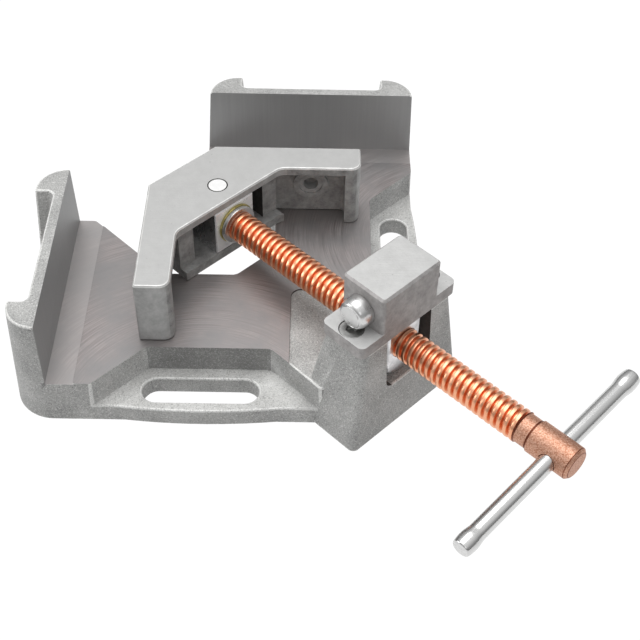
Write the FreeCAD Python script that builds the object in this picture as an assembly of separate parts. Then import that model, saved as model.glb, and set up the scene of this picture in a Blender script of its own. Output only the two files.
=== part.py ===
import FreeCAD, Part
import math
import os

# Two-axis welder's angle clamp. All lengths are in millimetres and all angles in degrees.
# The origin is on the upright axis of the swivel nut, at the underside of the base.
# X runs along the rear jaw, Y runs along the left jaw away from the handle, and Z is up.
# The casting is the same on both sides of the upright plane through the spindle when it points
# squarely at the corner, so each form beside the left jaw is mirrored to give its twin at the rear jaw.

# Fixed jaws
face_offset = 184.0       # nut axis to the working face of each fixed jaw
face_inset = 77.0         # crossing of the two faces to the near end of each jaw
face_length = 127.0
bed_height = 30.0
jaw_height = 42.0
wall = 6.3                # jaw wall at its top edge, between the two end bosses
boss_radius = 17.1        # quarter-round boss at each end of the wall, at its top
side_draft = 4.8          # how far each cast side spreads from the jaw's top to the underside
front_draft = 2.2
front_corner_growth = 6.0 # larger radius of the casting's front corners at the underside
recess_draft = 2.2        # how much thicker wall and bosses are at the recess floor
boss_width = 19.5         # end of the jaw to the recess, at the top
recess_corner = 4.0

# Base plate and its openings
skin_drop = 0.8           # the unmilled casting lies this much below the milled beds
opening_width = 91.0      # open corner between the two beds, across the spindle
opening_reach = 120.0     # jaw face to the front edge of the open corner
nose_half_width = 15.29   # squared nose of the open corner, towards the spindle
milled_reach = 131.0      # jaw face to the edge of the opposite milled bed
mill_radius = 6.0
groove_width = 15.0       # relief groove along the foot of each jaw
groove_depth = 1.0
plan_corner = 6.0
core_width = 32.0         # pockets cored into the underside
core_length = 32.0
core_rib = 8.0
core_margin = 9.0
core_roof = 11.0
core_count = 3

# Slotted feet
foot_height = 12.0
foot_depth = 26.0         # near end of the jaws to the back wall of the foot's pocket
foot_length = 69.2        # straight back wall of the pocket
foot_centre = 86.2        # crossing of the faces to the middle of the pocket
slot_shift = 4.2          # middle of the pocket to the middle of the slot and of the foot's bow
slot_inset = 10.2         # near end of the jaws to the middle of the slot
slot_length = 65.0
slot_width = 16.8
foot_bulge = 2.4          # the foot's front edge bows out past the base
foot_bulge_length = 92.0
foot_bulge_start = 0.5    # ends of the bow lie this far inside the base's front edge

# Pedestal
pedestal_rise = 15.6      # spindle's axis to the top
pedestal_spread = 10.0    # how much wider each side is at the underside
pedestal_front = 14.5
pedestal_back = 14.8
pedestal_front_foot = 18.5
pedestal_back_foot = 26.0
pedestal_corner = 4.0
front_joint = 10.0        # how far behind the near end of the jaws the casting's front edges end in it
channel_rise = 2.5        # milled bed to the floor of the channel
channel_gap = 0.5         # beside the barrel of the nut
channel_corner = 5.0

# Cap over the nut
flange_overhang = 3.4     # beyond each side of the pedestal
flange_rim = 0.5          # between a screw head's recess and the edge or the block beside it
flange_depth = 29.2       # also the depth of the block along the spindle
flange_height = 7.7
flange_corner = 3.5
cap_half_width = 21.6
cap_height = 24.6         # block above the flange
cap_corner = 2.5
cap_edge = 1.2            # chamfer around the top

# Cap screws, M8 with a low head
screw_radius = 4.0
screw_length = 18.0
screw_head_radius = 6.5
screw_head_height = 5.0
screw_socket = 5.0        # across the flats of the hexagon socket
screw_socket_depth = 2.6
screw_sink = 5.2
screw_gap = 0.3           # around the head and the shank in the flange

# Spindle
swing = 0.7               # how far the spindle is turned about the nut from square to the corner
spindle_height = 52.9
thread_radius = 9.0       # Tr 18 x 4
thread_end = 92.0         # places along the spindle are measured from the nut axis to the handle
neck_radius = 8.4
neck_length = 7.7
head_length = 25.5
head_radius = 9.2
head_chamfer = 1.8
journal_radius = 6.0
lock_nut_height = 6.0
lock_nut_flats = 18.0
journal_tail = 1.4        # journal beyond the lock nut
lock_pin_radius = 1.5

# Handle bar
bar_inset = 13.6          # start of the head to the axis of the bar
bar_radius = 4.76         # three eighths of an inch across
bar_near = 73.4           # head axis to the end on the left jaw's side
bar_far = 62.5
bar_tilt = 5.54           # turn of the spindle that lowers the near end of the bar
bar_end_radius = 4.9
bar_flare_radius = 5.6
bar_flare_peak = 6.9      # end of the bar to the widest place of its flare
bar_flare_start = 13.0    # end of the bar to the place where the flare starts

# Swivel nut
nut_radius = 16.5
nut_flat = 12.0           # axis to the flat face at each mouth of the thread
nut_chamfer = 1.5
spigot_radius = 7.0
spigot_length = 10.0
stem_radius = 9.0
stem_groove_radius = 6.0
stem_collar = 1.8         # collar of the stem above the groove
stem_gap = 1.3            # end of the stem to the roof of its bore in the cap

# Retaining plug with the domed head
plug_radius = 4.0
plug_head_radius = 8.8
plug_lift = 0.9           # between the plug's head and the flange
plug_head_length = 9.0
plug_barrel = 4.0
plug_face_radius = 6.2
plug_gap = 0.3            # around the tip of the plug in the stem's groove

# Swivel block and its pivot pins
pivot_place = 135.0       # nut axis to the pivot of the moving jaw
block_front = 14.0
block_back = 10.0
block_half_width = 14.7
block_edge = 0.6
pin_radius = 6.0
pin_gap = 1.5             # end of each pin to the journal
pin_sink = 0.1
zinc_washer_radius = 12.4
zinc_washer_thickness = 1.5
thrust_washer_radius = 11.8
thrust_washer_thickness = 2.45
rear_washer_radius = 11.0
rear_washer_thickness = 1.6

# Moving jaw
jaw_lift = 0.6            # gap between the moving jaw and the beds
left_face_inset = 40.0    # left working face to the pivot
rear_face_inset = 36.0
jaw_back = 28.0           # pivot to the squared back of the jaw
arm_reach = 83.4          # pivot to the end of each arm, along the arm
arm_width = 19.7
mouth_front = 13.9        # pivot to the front edge of the top and bottom plates
top_plate = 5.3
mouth_above = 14.4        # spindle's axis to the roof of the mouth
mouth_below = 16.2        # spindle's axis to the floor of the mouth
face_wall = 8.0
end_wall = 9.0
mouth_half_width = 27.0
tail_gap = 1.5            # end of the journal to the back wall of the mouth
rib_width = 11.0
rib_front = 8.5
arm_corner = 6.0
arm_outer_corner = 1.5
mouth_corner = 9.0
boss_place = 53.8         # pivot to the round boss on each face wall, along the arm
jaw_boss_radius = 10.5
jaw_boss_height = 1.5
jaw_boss_rim = 7.0
jaw_boss_bore = 4.5
jaw_boss_bore_depth = 6.0
jaw_edge = 0.8            # chamfer around the top

# Clearances
running = 0.06            # radial, in every bearing that turns or slides
thrust = 0.05             # between faces that turn on each other
seat = 0.3                # between a moving piece and a wall that it doesn't bear on
press = 0.02              # radial, around a piece that is pressed or screwed in

far_end = face_offset - face_inset - face_length
near_end = face_offset - face_inset
jaw_top = bed_height + jaw_height
square_heading = -45.0
heading = square_heading + swing
screw_offset = cap_half_width + flange_rim + screw_gap + screw_head_radius
flange_half_width = screw_offset + screw_head_radius + screw_gap + flange_rim
pedestal_half_width = flange_half_width - flange_overhang
pedestal_top = spindle_height + pedestal_rise
channel_floor = bed_height + channel_rise
cap_base = pedestal_top + flange_height
cap_top = cap_base + cap_height
plug_height = cap_base + plug_lift + plug_head_radius
stem_groove_top = plug_height + plug_radius + plug_gap
stem_groove_bottom = plug_height - plug_radius - plug_gap
stem_top = stem_groove_top + stem_collar
block_face = block_front - pivot_place
block_tail = -block_back - pivot_place
thread_start = block_face + zinc_washer_thickness + thrust + thrust_washer_thickness
journal_end = block_tail - rear_washer_thickness - lock_nut_height - journal_tail
head_start = thread_end + neck_length
bar_place = head_start + bar_inset
mouth_roof = spindle_height + mouth_above
mouth_floor = spindle_height - mouth_below
mouth_back = tail_gap - pivot_place - journal_end
moving_bottom = bed_height + jaw_lift
moving_top = mouth_roof + top_plate
block_top = mouth_roof - seat
block_bottom = mouth_floor + seat
upper_pin_end = spindle_height + journal_radius + pin_gap
lower_pin_end = spindle_height - journal_radius - pin_gap


def point(x, y, z=0.0):
    return FreeCAD.Vector(x, y, z)


def outline(corners, z=0.0):
    """Closed wire at height z through (x, y, radius) corners, each rounded by its radius."""
    edges = []
    starts = []
    ends = []
    middles = []
    count = len(corners)
    for i in range(count):
        x, y, radius = corners[i]
        here = point(x, y, z)
        to_last = (point(corners[i - 1][0], corners[i - 1][1], z) - here).normalize()
        follower = corners[(i + 1) % count]
        to_next = (point(follower[0], follower[1], z) - here).normalize()
        if radius == 0:
            starts.append(here)
            ends.append(here)
            middles.append(None)
            continue
        half = to_last.getAngle(to_next) / 2
        setback = radius / math.tan(half)
        bisector = (to_last + to_next).normalize()
        starts.append(here + to_last * setback)
        ends.append(here + to_next * setback)
        middles.append(here + bisector * (radius / math.sin(half) - radius))
    for i in range(count):
        if middles[i] is not None:
            edges.append(Part.Arc(starts[i], middles[i], ends[i]).toShape())
        after = starts[(i + 1) % count]
        if (after - ends[i]).Length > 1e-6:
            edges.append(Part.LineSegment(ends[i], after).toShape())
    return Part.Wire(edges)


def prism(corners, low, high):
    return Part.Face(outline(corners, low)).extrude(point(0, 0, high - low))


def tapered(low_corners, low, high_corners, high):
    """Solid between two outlines with the same corners: flat sides, and cones at coaxial arcs."""
    bottom = outline(low_corners, low)
    top = outline(high_corners, high)
    faces = [Part.Face(bottom), Part.Face(top)]
    for below, above in zip(bottom.Edges, top.Edges):
        if isinstance(below.Curve, Part.Line):
            start, end = [vertex.Point for vertex in below.Vertexes]
            first, last = [vertex.Point for vertex in above.Vertexes]
            faces.append(Part.Face(Part.makePolygon([start, end, last, first, start])))
        elif (below.Curve.Center - above.Curve.Center).cross(point(0, 0, 1)).Length < 1e-6:
            centre = below.Curve.Center
            start, end = [vertex.Point for vertex in below.Vertexes]
            slope = Part.LineSegment(start, above.Vertexes[0].Point).toShape()
            bend = math.degrees(below.Length / below.Curve.Radius)
            clockwise = (start - centre).cross(end - centre).z < 0
            faces.append(slope.revolve(centre, point(0, 0, 1), -bend if clockwise else bend))
        else:
            faces.append(Part.makeRuledSurface(below, above))
    shell = Part.Shell(faces)
    shell.sewShape()
    solid = Part.Solid(shell)
    if solid.Volume < 0:
        solid.reverse()
    return solid


def rectangle(x0, x1, y0, y1, radius=0.0):
    return [(x0, y0, radius), (x1, y0, radius), (x1, y1, radius), (x0, y1, radius)]


def upright(radius, low, high, x=0.0, y=0.0):
    return Part.makeCylinder(radius, high - low, point(x, y, low), point(0, 0, 1))


def along(radius, start, end, height, side=0.0):
    """Cylinder along the spindle direction, from start to end, at a height and a sideways place."""
    return Part.makeCylinder(radius, end - start, point(start, side, height), point(1, 0, 0))


def across(radius, start, end, place, height):
    """Cylinder across the spindle direction, from start to end sideways."""
    return Part.makeCylinder(radius, end - start, point(place, start, height), point(0, 1, 0))


def screwed(shape, angle):
    """The shape turned about the spindle's own axis."""
    screwed_shape = shape.copy()
    screwed_shape.rotate(point(0, 0, spindle_height), point(1, 0, 0), angle)
    return screwed_shape


def turned(shape, angle):
    turned_shape = shape.copy()
    turned_shape.rotate(point(0, 0), point(0, 0, 1), angle)
    return turned_shape


def twin(shape):
    """The same form on the other side of the upright plane through the square spindle."""
    return shape.mirror(point(0, 0), point(1, 1, 0))


def turned_profile(points, centre, axis):
    """Solid of revolution from a closed profile of straight edges about an axis."""
    wire = Part.makePolygon(points + [points[0]])
    return Part.Face(wire).revolve(centre, axis, 360)


def hexagon(flats, low, high, x, y):
    corner = flats / math.sqrt(3)
    corners = []
    for i in range(6):
        angle = math.radians(60 * i)
        corners.append((x + corner * math.cos(angle), y + corner * math.sin(angle), 0))
    return prism(corners, low, high)


def casting_corners(share):
    """Plan of the casting, from a share of 0 at the top of the jaws to 1 at the underside."""
    side = face_offset + boss_radius + share * side_draft
    front = far_end - share * front_draft
    rear = near_end + share * side_draft
    inner = face_offset - opening_reach
    slant = opening_width / math.sqrt(2)
    half = [
        (far_end - front_joint, front, 0),
        (-side, front, boss_radius + share * front_corner_growth),
        (-side, rear, boss_radius + share * side_draft),
        (-slant - rear, rear, 0),
        (-slant - inner, inner, plan_corner),
        (-inner - nose_half_width * math.sqrt(2), inner, plan_corner),
    ]
    other = []
    for x, y, radius in reversed(half):
        other.append((-y, -x, radius))
    return half + other


def above_beds():
    """All that is cut from between the two working faces, down to the milled beds."""
    size = 2 * face_offset
    corners = [
        (-face_offset, face_offset, 0), (-face_offset, -size, 0), (size, -size, 0), (size, face_offset, 0)]
    return prism(corners, bed_height, 2 * jaw_top)


def rough_area():
    """Unmilled skin between the beds and behind the pedestal, a little below the milled surface."""
    edge = face_offset - milled_reach
    size = 2 * face_offset
    corners = [(-edge, edge, mill_radius), (-edge, -size, 0), (size, -size, 0), (size, edge, 0)]
    return prism(corners, bed_height - skin_drop, 2 * bed_height)


def jaw_recess():
    """Recess in the back of the left fixed jaw, between its quarter-round end bosses."""
    inner = -face_offset - wall
    outer = inner - 2 * boss_radius
    high = rectangle(outer, inner, far_end + boss_width, near_end - boss_width, recess_corner)
    low = rectangle(
        outer, inner - recess_draft,
        far_end + boss_width + recess_draft, near_end - boss_width - recess_draft, recess_corner)
    return tapered(low, bed_height, high, jaw_top + 0.01)


def foot_pocket():
    """Clears the bed above the slotted foot in front of the left jaw's bed."""
    centre = foot_centre - face_offset
    back = far_end + foot_depth
    half = foot_length / 2
    depth = 2 * foot_length
    corners = [
        (centre - half, back, plan_corner),
        (centre - half - depth, back - depth, 0),
        (centre + half + depth, back - depth, 0),
        (centre + half, back, plan_corner),
    ]
    return prism(corners, foot_height, 2 * bed_height)


def bench_slot():
    centre = foot_centre - slot_shift - face_offset
    middle = far_end + slot_inset
    reach = slot_length / 2
    half = slot_width / 2
    corners = rectangle(centre - reach, centre + reach, middle - half, middle + half, half - 0.01)
    return prism(corners, -1, foot_height + 1)


def foot_bow():
    """Bowed front edge of the slotted foot."""
    centre = foot_centre - slot_shift - face_offset
    front = far_end - front_draft + foot_bulge_start
    back = front + slot_width
    half = foot_bulge_length / 2
    left = centre - half
    right = centre + half
    peak = front - foot_bulge - foot_bulge_start
    bow = Part.Arc(point(left, front), point(centre, peak), point(right, front)).toShape()
    sides = Part.makePolygon([point(right, front), point(right, back), point(left, back), point(left, front)])
    return Part.Face(Part.Wire([bow] + sides.Edges)).extrude(point(0, 0, foot_height))


def underside_cores():
    """Pockets between the ribs under the left bed."""
    cores = []
    low = far_end + foot_depth + core_margin
    start = -face_offset - boss_radius + core_margin
    for i in range(core_count):
        x = start + i * (core_width + core_rib)
        cores.append(prism(rectangle(x, x + core_width, low, low + core_length), -1, bed_height - core_roof))
    return cores


def pedestal():
    """Flared block that carries the nut, with the rear buttress that runs down to the bed."""
    spread = pedestal_half_width + pedestal_spread
    foot = rectangle(-pedestal_back_foot, pedestal_front_foot, -spread, spread, pedestal_corner)
    top = rectangle(
        -pedestal_back, pedestal_front, -pedestal_half_width, pedestal_half_width, pedestal_corner)
    body = tapered(foot, 0, top, pedestal_top)
    return turned(body, square_heading)


def pedestal_cuts():
    """Nut channel, spigot hole and the tapped holes for the cap screws."""
    half = nut_radius + channel_gap
    reach = 3 * pedestal_back_foot
    corners = [
        (channel_floor, -half, channel_corner), (2 * pedestal_top, -half, 0),
        (2 * pedestal_top, half, 0), (channel_floor, half, channel_corner)]
    channel = prism(corners, -reach, reach)
    channel.rotate(point(0, 0), point(0, 1, 0), -90)
    tools = [channel]
    tools.append(upright(spigot_radius + running, channel_floor - spigot_length - 1, channel_floor + 1))
    hole_end = pedestal_top + flange_height - screw_sink - screw_length - 2
    for side in (-screw_offset, screw_offset):
        tools.append(upright(screw_radius + press, hole_end, pedestal_top + 1, 0, side))
    return [turned(tool, square_heading) for tool in tools]


def jaw_foot_groove():
    """Relief groove in the bed along the foot of the left fixed jaw."""
    reach = face_length
    corners = rectangle(-face_offset, groove_width - face_offset, far_end - reach, near_end + reach)
    return prism(corners, bed_height - groove_depth, bed_height + 1)


def base():
    """Grey iron casting: both fixed jaws, beds, slotted feet and pedestal in one piece."""
    body = tapered(casting_corners(1), 0, casting_corners(0), jaw_top)
    body = body.cut([above_beds(), rough_area()])
    for cutter in (jaw_recess(), foot_pocket()):
        body = body.cut([cutter, twin(cutter)])
    body = body.fuse([foot_bow(), twin(foot_bow()), pedestal()])
    cuts = [bench_slot(), jaw_foot_groove()] + underside_cores()
    cuts = cuts + [twin(cutter) for cutter in cuts] + pedestal_cuts()
    return body.cut(cuts).removeSplitter()


def nut_cap():
    """Cap that closes the nut channel: a flange with two recessed screws and a block over the nut's stem."""
    half_depth = flange_depth / 2
    flange = prism(
        rectangle(-half_depth, half_depth, -flange_half_width, flange_half_width, flange_corner),
        pedestal_top, cap_base)
    block = prism(
        rectangle(-half_depth, half_depth, -cap_half_width, cap_half_width, cap_corner),
        pedestal_top, cap_top)
    body = flange.fuse(block).removeSplitter()
    rims = []
    for edge in body.Edges:
        box = edge.BoundBox
        if abs(box.ZMin - cap_top) < 0.01:
            rims.append(edge)
    body = body.makeChamfer(cap_edge, rims)
    tools = [
        upright(stem_radius + running, pedestal_top - 1, stem_top + stem_gap),
        across(plug_radius + press, -cap_half_width - 1, 0, 0, plug_height),
    ]
    for side in (-screw_offset, screw_offset):
        tools.append(upright(screw_radius + screw_gap, pedestal_top - 1, cap_base + 1, 0, side))
        tools.append(upright(screw_head_radius + screw_gap, cap_base - screw_sink, cap_base + 1, 0, side))
    return turned(body.cut(tools), square_heading)


def cap_screws():
    """Two M8 socket screws with low heads, sunk into the cap's flange."""
    floor = cap_base - screw_sink
    screws = []
    for side in (-screw_offset, screw_offset):
        head = upright(screw_head_radius, floor, floor + screw_head_height, 0, side)
        shank = upright(screw_radius, floor - screw_length, floor + 1, 0, side)
        socket = hexagon(screw_socket, floor + screw_head_height - screw_socket_depth, cap_top, 0, side)
        screws.append(turned(head.fuse(shank).cut(socket).removeSplitter(), square_heading))
    return Part.makeCompound(screws)


def retaining_plug():
    """Domed plug in the left side of the cap. Its tip sits in the groove of the nut's stem."""
    seat_place = -cap_half_width
    barrel_end = seat_place - plug_barrel
    face = seat_place - plug_head_length
    tip = -stem_groove_radius - plug_gap
    middle = (barrel_end + 2 * face) / 3
    shoulder = plug_head_radius - (plug_head_radius - plug_face_radius) / 3
    profile = [
        point(0, face), point(0, tip), point(plug_radius, tip), point(plug_radius, seat_place),
        point(plug_head_radius, seat_place), point(plug_head_radius, barrel_end), point(shoulder, middle),
        point(plug_face_radius, face)]
    body = turned_profile(profile, point(0, 0), point(0, 1, 0))
    body.translate(point(0, 0, plug_height))
    return turned(body, square_heading)


def swivel_nut():
    """Zinc-plated barrel nut that stands in the channel and turns on its spigot and stem."""
    low = channel_floor + thrust
    high = pedestal_top - seat
    profile = [
        point(0, 0, low - spigot_length),
        point(spigot_radius, 0, low - spigot_length), point(spigot_radius, 0, low),
        point(nut_radius - channel_corner, 0, low), point(nut_radius, 0, low + channel_corner),
        point(nut_radius, 0, high - nut_chamfer), point(nut_radius - nut_chamfer, 0, high),
        point(stem_radius, 0, high),
        point(stem_radius, 0, stem_groove_bottom), point(stem_groove_radius, 0, stem_groove_bottom),
        point(stem_groove_radius, 0, stem_groove_top), point(stem_radius, 0, stem_groove_top),
        point(stem_radius, 0, stem_top), point(0, 0, stem_top),
    ]
    body = turned_profile(profile, point(0, 0), point(0, 0, 1))
    size = 2 * nut_radius
    tools = [along(thread_radius + running, -size, size, spindle_height)]
    for side in (-1, 1):
        low_u = min(side * nut_flat, side * size)
        high_u = max(side * nut_flat, side * size)
        tools.append(prism(rectangle(low_u, high_u, -size, size), low - 1, high + 1))
    return turned(body.cut(tools), heading)


def spindle():
    """Screw with its journal at the jaw end and its cross-drilled head. The thread is a plain cylinder."""
    body = along(thread_radius, thread_start, thread_end, spindle_height)
    body = body.fuse([
        along(journal_radius, journal_end, thread_start, spindle_height),
        along(neck_radius, thread_end, head_start, spindle_height),
    ])
    end = head_start + head_length
    profile = [
        point(head_start, 0, 0), point(head_start, 0, head_radius), point(end - head_chamfer, 0, head_radius),
        point(end, 0, head_radius - head_chamfer), point(end, 0, 0)]
    head = turned_profile(profile, point(0, 0), point(1, 0, 0))
    head.translate(point(0, 0, spindle_height))
    body = body.fuse(head).removeSplitter()
    bar_hole = across(bar_radius + running, -2 * head_radius, 2 * head_radius, bar_place, spindle_height)
    return turned(body.cut([screwed(bar_hole, bar_tilt), lock_pin_shape(running)]), heading)


def handle_bar():
    """Sliding cross bar. Its ends are upset so that it can't slip out of the head."""
    def half(reach):
        return [
            point(0, bar_radius, 0), point(reach - bar_flare_start, bar_radius, 0),
            point(reach - bar_flare_peak, bar_flare_radius, 0), point(reach, bar_end_radius, 0),
            point(reach, 0, 0)]
    far_side = half(bar_far)
    near_side = [point(-p.x, p.y, 0) for p in reversed(half(bar_near))]
    body = turned_profile(near_side[:-1] + far_side[1:], point(0, 0), point(1, 0, 0))
    body.rotate(point(0, 0), point(0, 0, 1), 90)
    body.translate(point(bar_place, 0, spindle_height))
    return turned(screwed(body, bar_tilt), heading)


def washer(radius, bore, start, end):
    ring = along(radius, start, end, spindle_height)
    return turned(ring.cut(along(bore, start - 1, end + 1, spindle_height)), heading)


def zinc_washer():
    return washer(zinc_washer_radius, journal_radius + seat, block_face, block_face + zinc_washer_thickness)


def thrust_washer():
    start = thread_start - thrust_washer_thickness
    return washer(thrust_washer_radius, journal_radius + press, start, thread_start)


def rear_washer():
    end = block_tail - thrust
    return washer(rear_washer_radius, journal_radius + press, end - rear_washer_thickness + thrust, end)


def lock_pin_shape(gap=0.0):
    """Pin through the lock nut and the journal, upright when the thread is at rest."""
    place = block_tail - rear_washer_thickness - lock_nut_height / 2
    half = lock_nut_flats / 2 - 0.2
    return upright(lock_pin_radius + gap, spindle_height - half, spindle_height + half, place, 0)


def lock_pin():
    return turned(lock_pin_shape(), heading)


def lock_nut():
    """Hexagon nut on the journal's tail, behind the swivel block."""
    start = block_tail - rear_washer_thickness - lock_nut_height
    body = hexagon(lock_nut_flats, 0, lock_nut_height, 0, 0)
    body.rotate(point(0, 0), point(0, 1, 0), 90)
    body.rotate(point(0, 0), point(1, 0, 0), 90)
    body.translate(point(start, 0, spindle_height))
    tools = [
        along(journal_radius + press, start - 1, start + lock_nut_height + 1, spindle_height),
        lock_pin_shape(running),
    ]
    return turned(body.cut(tools), heading)


def swivel_block():
    """Plated block in the jaw's mouth: the journal turns in it, and it turns on the two pivot pins."""
    body = prism(
        rectangle(block_tail, block_face, -block_half_width, block_half_width), block_bottom, block_top)
    body = body.makeChamfer(block_edge, body.Edges)
    tools = [
        along(journal_radius + running, block_tail - 1, block_face + 1, spindle_height),
        upright(pin_radius + running, upper_pin_end - seat, block_top + 1, -pivot_place, 0),
        upright(pin_radius + running, block_bottom - 1, lower_pin_end + seat, -pivot_place, 0),
    ]
    return turned(body.cut(tools), heading)


def pivot_pin(low, high):
    return turned(upright(pin_radius, low, high, -pivot_place, 0), heading)


def upper_pivot_pin():
    return pivot_pin(upper_pin_end, moving_top - pin_sink)


def lower_pivot_pin():
    return pivot_pin(moving_bottom + pin_sink, lower_pin_end)


def arm_pocket(inset):
    """Hollow of the left arm, open below and inwards. The inset is its face's distance from the pivot."""
    outer = face_wall - inset
    inner = 2 * arm_width - inset
    end = end_wall - arm_reach
    rib = -(mouth_half_width + rib_width) * math.sqrt(2)
    corners = [
        (outer, end, arm_corner / 2), (inner, end, 0), (inner, rib - inner, 0), (outer, rib - outer, arm_corner / 2)]
    return prism(corners, moving_bottom - 1, mouth_roof)


def face_wall_disc(inset, radius, start, end):
    """Disc on the axis of the left face wall's boss, from start to end inwards of the wall's inner side."""
    height = (moving_bottom + moving_top) / 2
    return Part.makeCylinder(
        radius, end - start, point(face_wall - inset + start, -boss_place, height), point(1, 0, 0))


def jaw_boss(inset):
    """Round cast boss on the inside of the left face wall."""
    return face_wall_disc(inset, jaw_boss_radius, -1, jaw_boss_height)


def jaw_boss_bores(inset):
    """Spot face and blind bore in the boss."""
    return [
        face_wall_disc(inset, jaw_boss_rim, jaw_boss_height / 3, 2 * jaw_boss_height),
        face_wall_disc(inset, jaw_boss_bore, -jaw_boss_bore_depth, 2 * jaw_boss_height),
    ]


def jaw_plan():
    """Plan of the moving jaw about its pivot."""
    bend = mouth_front * math.sqrt(2)
    back = jaw_back * math.sqrt(2)
    left = -left_face_inset
    rear = rear_face_inset
    left_inner = left + arm_width
    rear_inner = rear - arm_width
    return [
        (left, left + back, arm_outer_corner), (left, -arm_reach, arm_outer_corner),
        (left_inner, -arm_reach, arm_corner), (left_inner, left_inner - bend, mouth_corner),
        (rear_inner + bend, rear_inner, mouth_corner), (arm_reach, rear_inner, arm_corner),
        (arm_reach, rear, arm_outer_corner), (rear - back, rear, arm_outer_corner)]


def moving_jaw():
    """Right-angled jaw casting: a top plate on two hollow arms, with the mouth for the swivel block."""
    body = prism(jaw_plan(), moving_bottom, moving_top)
    rims = [edge for edge in body.Edges if abs(edge.BoundBox.ZMin - moving_top) < 0.01]
    body = body.makeChamfer(jaw_edge, rims)
    front = mouth_front + arm_width
    cavity = prism(rectangle(-mouth_back, front, -mouth_half_width, mouth_half_width), mouth_floor, mouth_roof)
    shelf_half = mouth_half_width + rib_width + arm_corner
    shelf = prism(rectangle(rib_front, front, -shelf_half, shelf_half), mouth_floor, mouth_roof)
    tools = [
        turned(cavity, square_heading), turned(shelf, square_heading),
        arm_pocket(left_face_inset), twin(arm_pocket(rear_face_inset)),
        upright(pin_radius + press, moving_bottom - 1, moving_top + 1),
    ]
    body = body.cut(tools)
    body = body.fuse([jaw_boss(left_face_inset), twin(jaw_boss(rear_face_inset))])
    bores = jaw_boss_bores(left_face_inset) + [twin(bore) for bore in jaw_boss_bores(rear_face_inset)]
    body = body.cut(bores).removeSplitter()
    place = math.radians(heading)
    body.translate(point(-pivot_place * math.cos(place), -pivot_place * math.sin(place)))
    return body


def main():
    os.makedirs("parts", exist_ok=True)
    parts = {
        "base": base(),
        "nut_cap": nut_cap(),
        "cap_screws": cap_screws(),
        "retaining_plug": retaining_plug(),
        "swivel_nut": swivel_nut(),
        "spindle": spindle(),
        "handle_bar": handle_bar(),
        "thrust_washer": thrust_washer(),
        "zinc_washer": zinc_washer(),
        "rear_washer": rear_washer(),
        "lock_nut": lock_nut(),
        "lock_pin": lock_pin(),
        "swivel_block": swivel_block(),
        "upper_pivot_pin": upper_pivot_pin(),
        "lower_pivot_pin": lower_pivot_pin(),
        "moving_jaw": moving_jaw(),
    }
    for name, shape in parts.items():
        shape.exportStep(f"parts/{name}.step")
        solids = len(shape.Solids)
        print(name, "solids", solids, "valid", shape.isValid(), "volume", round(shape.Volume / 1000, 2), "cm3")


main()
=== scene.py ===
import math

import bmesh
import bpy
from mathutils import Matrix, Vector


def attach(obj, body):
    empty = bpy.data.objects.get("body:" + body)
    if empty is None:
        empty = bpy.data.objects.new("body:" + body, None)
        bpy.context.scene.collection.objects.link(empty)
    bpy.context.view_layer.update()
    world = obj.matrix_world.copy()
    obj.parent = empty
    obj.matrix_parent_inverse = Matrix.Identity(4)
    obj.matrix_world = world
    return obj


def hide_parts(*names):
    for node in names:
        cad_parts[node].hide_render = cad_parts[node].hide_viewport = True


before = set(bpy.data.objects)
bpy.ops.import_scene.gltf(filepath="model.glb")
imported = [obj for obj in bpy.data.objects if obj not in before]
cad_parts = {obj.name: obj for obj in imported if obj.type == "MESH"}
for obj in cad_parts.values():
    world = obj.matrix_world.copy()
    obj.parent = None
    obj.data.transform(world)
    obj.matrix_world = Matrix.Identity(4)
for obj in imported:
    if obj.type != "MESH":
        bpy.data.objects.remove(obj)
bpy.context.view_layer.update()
scene = bpy.context.scene
scene.view_settings.view_transform = "Standard"
MM = 0.001


# Camera. It stands above and in front of the handle and looks steeply down, with a short telephoto lens
# and a slight roll, as the photograph was taken.
camera_data = bpy.data.cameras.new("camera")
camera_data.sensor_width = 36.0
camera_data.lens = 67.148
camera_data.clip_end = 20.0
camera = bpy.data.objects.new("camera", camera_data)
scene.collection.objects.link(camera)
camera_place = Matrix.Translation((-0.040536, -0.434616, 0.523718))
camera_yaw = Matrix.Rotation(math.radians(-0.5395), 4, "Z")
camera_pitch = Matrix.Rotation(math.radians(90.0 - 46.8274), 4, "X")
camera_roll = Matrix.Rotation(math.radians(1.3261), 4, "Z")
camera.matrix_world = camera_place @ camera_yaw @ camera_pitch @ camera_roll
scene.camera = camera


# Studio floor and room. A sweep of paper that looks white under a large soft box, so that the shadow under
# the clamp is faint. The room is pale above and dark low down, which keeps upright faces darker than tops.
def linear(colour):
    """Linear RGBA of an sRGB hex colour."""
    channels = []
    for i in (1, 3, 5):
        share = int(colour[i:i + 2], 16) / 255
        channels.append(share / 12.92 if share <= 0.04045 else ((share + 0.055) / 1.055) ** 2.4)
    return (*channels, 1.0)


# A Mix node of colours takes its share as input 0 and the colours as 6 and 7, and gives output 2. One of
# plain values takes them as 2 and 3, and gives output 0.
def add(tree, kind, inputs=None, **settings):
    """Adds a node with its settings. Each input is a plain value or another node's output."""
    node = tree.nodes.new(kind)
    for name, value in settings.items():
        setattr(node, name, value)
    for name, value in (inputs or {}).items():
        if isinstance(value, bpy.types.NodeSocket):
            tree.links.new(value, node.inputs[name])
        else:
            node.inputs[name].default_value = value
    return node


def empty_material(name):
    """A new material whose node tree is still empty."""
    made = bpy.data.materials.new(name)
    made.use_nodes = True
    made.node_tree.nodes.clear()
    return made


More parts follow.
